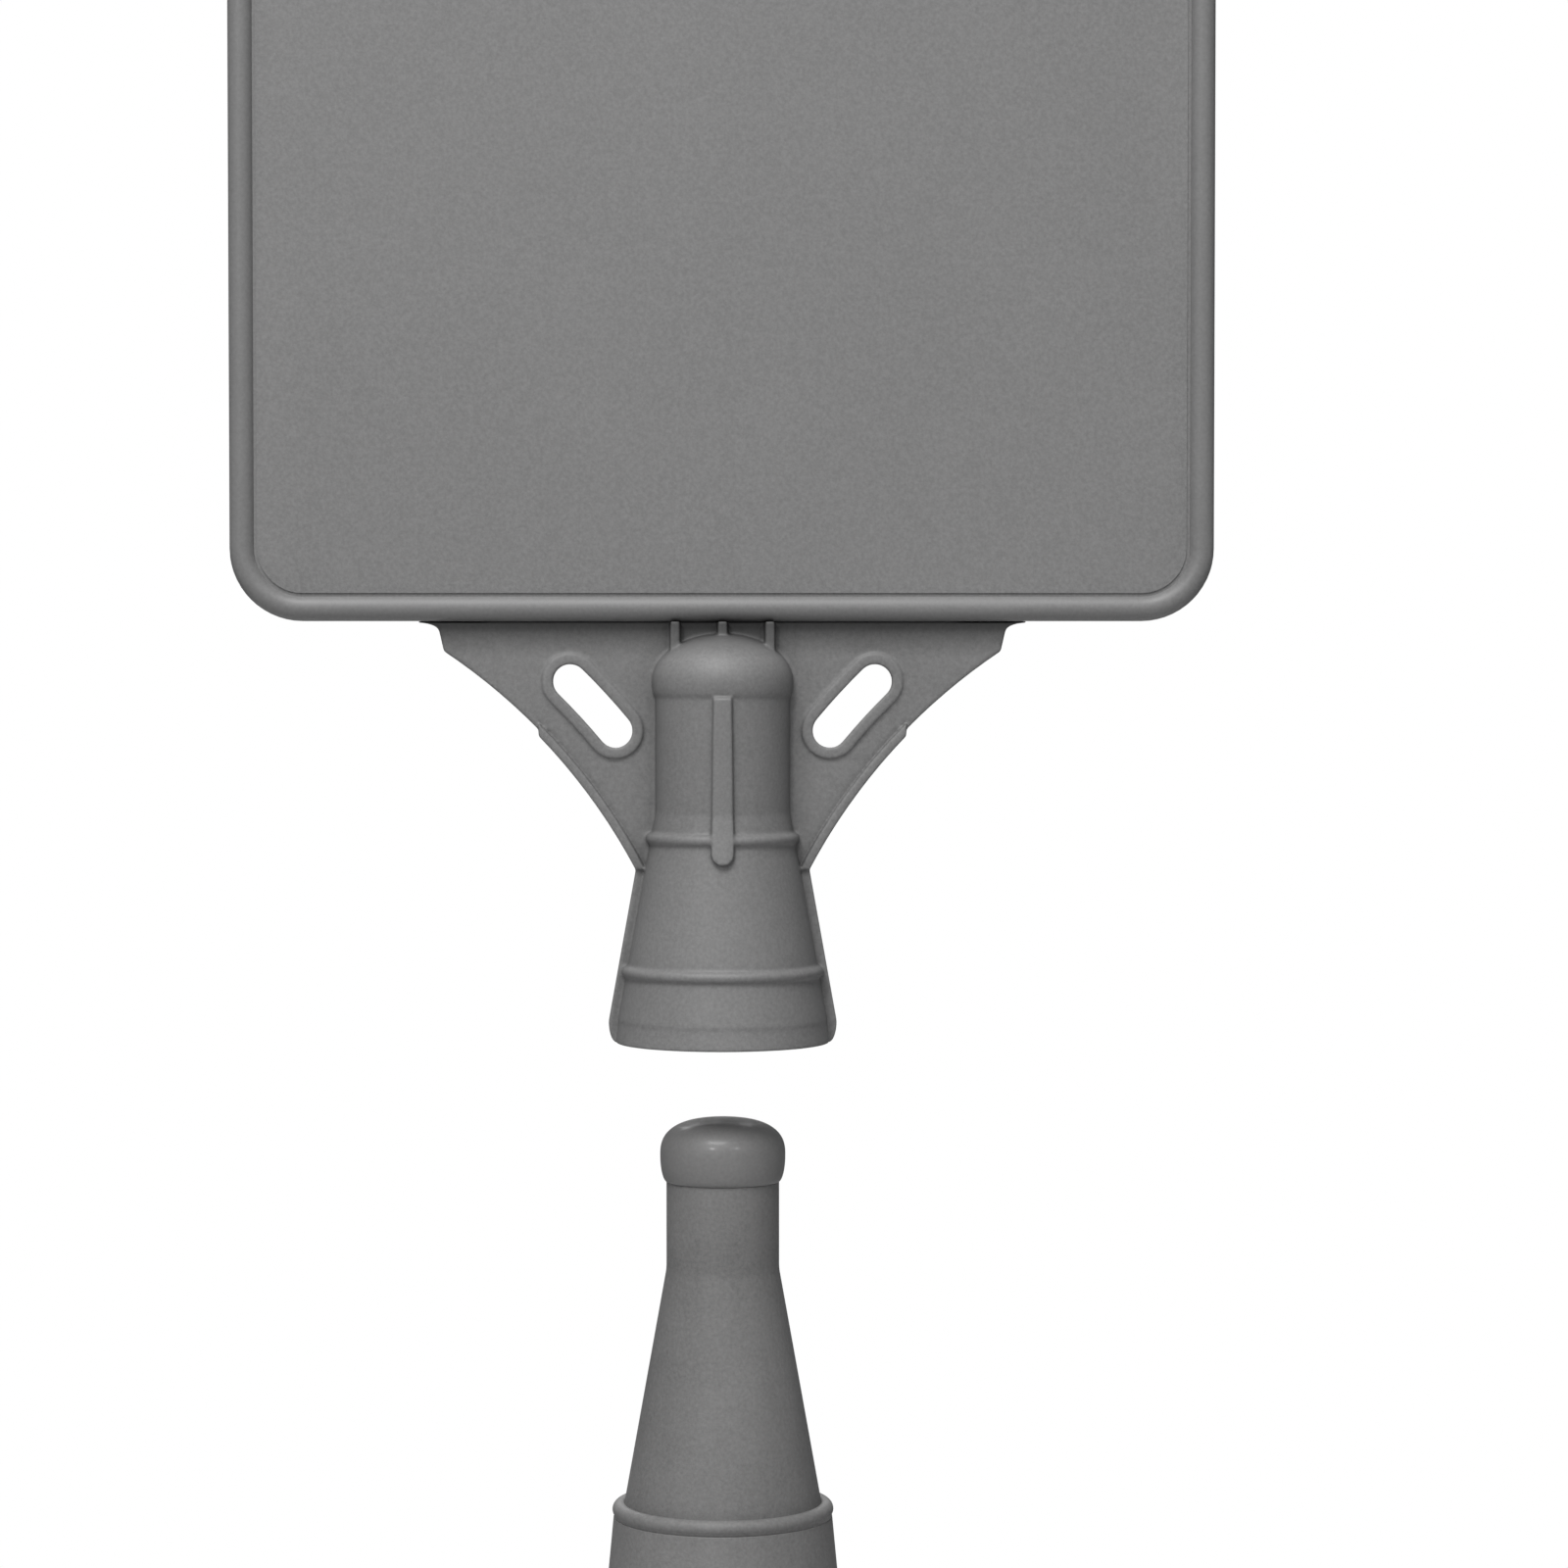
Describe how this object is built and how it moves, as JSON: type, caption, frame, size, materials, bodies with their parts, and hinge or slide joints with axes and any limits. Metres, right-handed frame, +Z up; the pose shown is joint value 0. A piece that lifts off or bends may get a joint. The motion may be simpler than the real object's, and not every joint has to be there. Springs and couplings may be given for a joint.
{
  "type": "traffic cone post with lift-off sign board",
  "caption": "Tapered road cone post on a heavy square rubber base, with a rimmed sign board on a slotted bracket whose socket lifts off the post's knob.",
  "frame": {"origin": "middle of the base's underside, on the floor", "axes": "+Z up along the post's axis, the sign faces -Y, +X is to the right of someone who reads the sign"},
  "size_m": [0.5, 0.42, 1.5286],
  "materials": {
    "base_rubber": "moulded, matte, fine grain",
    "pad_rubber": "moulded, matte",
    "washer_plastic": "plain sheet",
    "galvanised_steel": "galvanised",
    "post_plastic": "moulded, fine sand grain",
    "knob_plastic": "moulded, satin",
    "bracket_plastic": "moulded, satin",
    "screw_steel": "zinc plated",
    "panel_plastic": "finely textured sheet",
    "rim_plastic": "moulded, satin"
  },
  "bodies": {
    "base": {"base_slab": "base_rubber", "foot_pads": "pad_rubber", "wear_washer": "washer_plastic", "clamp_ring": "galvanised_steel", "clamp_screws": "galvanised_steel"},
    "post": {"post_flange": "post_plastic", "post_foot": "post_plastic", "post_lower": "post_plastic", "stop_ring": "post_plastic", "post_upper": "post_plastic", "post_knob": "knob_plastic"},
    "sign": {"socket_front": "bracket_plastic", "socket_rear": "bracket_plastic", "bracket_plate": "bracket_plastic", "bracket_screws": "screw_steel", "sign_panel": "panel_plastic", "rim_front": "rim_plastic", "rim_rear": "rim_plastic"}
  },
  "joints": [
    {"name": "post_turn", "type": "hinge", "parent": "base", "child": "post", "pos_m": [0, 0, 0], "axis": [0, 0, 1], "continuous": true},
    {"name": "sign_lift", "type": "slide", "parent": "post", "child": "sign", "axis": [0, 0, 1], "range_m": [-0.235, 0.1]}
  ]
}
